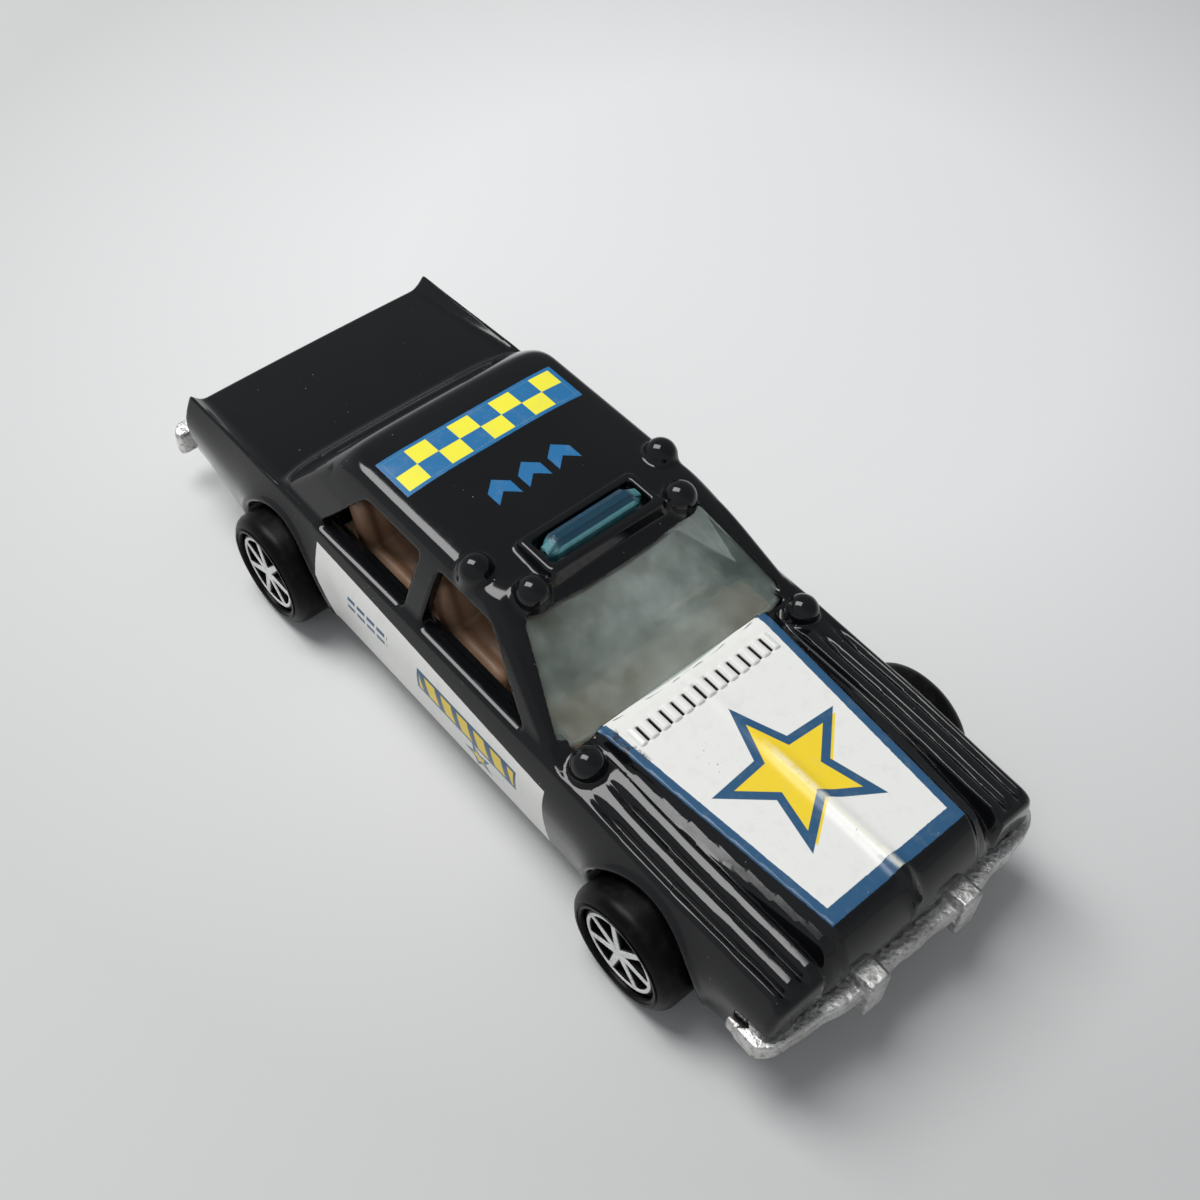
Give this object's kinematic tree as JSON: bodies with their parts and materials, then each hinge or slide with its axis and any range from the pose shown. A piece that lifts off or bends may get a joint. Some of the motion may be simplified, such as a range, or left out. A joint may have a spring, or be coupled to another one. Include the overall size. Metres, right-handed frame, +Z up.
{
  "type": "toy police car",
  "caption": "Small die-cast toy patrol car: cast body and base, clear windows, blue light bar lens, seat moulding and free-rolling wheels on wire axles.",
  "frame": {"origin": "on the ground below the middle of the car's overall length and width", "axes": "+X towards the front bumper, +Y towards the car's left side, +Z up"},
  "size_m": [0.0754, 0.031, 0.0211],
  "materials": {
    "enamel": "gloss black enamel with printed panels",
    "zinc": "bare cast zinc, pitted",
    "clear_plastic": "clear tinted plastic",
    "lens_plastic": "blue transparent plastic",
    "tan_plastic": "moulded tan plastic",
    "axle_wire": "bright steel wire",
    "wheel_plastic": "moulded black plastic",
    "wheel_foil": "hot-stamped white foil"
  },
  "bodies": {
    "car": {"body_shell": "enamel", "base_plate": "zinc", "window_unit": "clear_plastic", "light_bar_lens": "lens_plastic", "interior_tub": "tan_plastic", "front_axle": "axle_wire", "rear_axle": "axle_wire"},
    "front_left_wheel": {"front_left_wheel": "wheel_plastic", "front_left_wheel_foil": "wheel_foil"},
    "front_right_wheel": {"front_right_wheel": "wheel_plastic", "front_right_wheel_foil": "wheel_foil"},
    "rear_left_wheel": {"rear_left_wheel": "wheel_plastic", "rear_left_wheel_foil": "wheel_foil"},
    "rear_right_wheel": {"rear_right_wheel": "wheel_plastic", "rear_right_wheel_foil": "wheel_foil"}
  },
  "joints": [
    {"name": "front_left_wheel_spin", "type": "hinge", "parent": "car", "child": "front_left_wheel", "pos_m": [0.02445, 0.0132, 0.00505], "axis": [0, 1, 0], "continuous": true},
    {"name": "front_right_wheel_spin", "type": "hinge", "parent": "car", "child": "front_right_wheel", "pos_m": [0.02445, -0.0132, 0.00505], "axis": [0, 1, 0], "continuous": true},
    {"name": "rear_left_wheel_spin", "type": "hinge", "parent": "car", "child": "rear_left_wheel", "pos_m": [-0.01925, 0.0132, 0.00505], "axis": [0, 1, 0], "continuous": true},
    {"name": "rear_right_wheel_spin", "type": "hinge", "parent": "car", "child": "rear_right_wheel", "pos_m": [-0.01925, -0.0132, 0.00505], "axis": [0, 1, 0], "continuous": true}
  ]
}
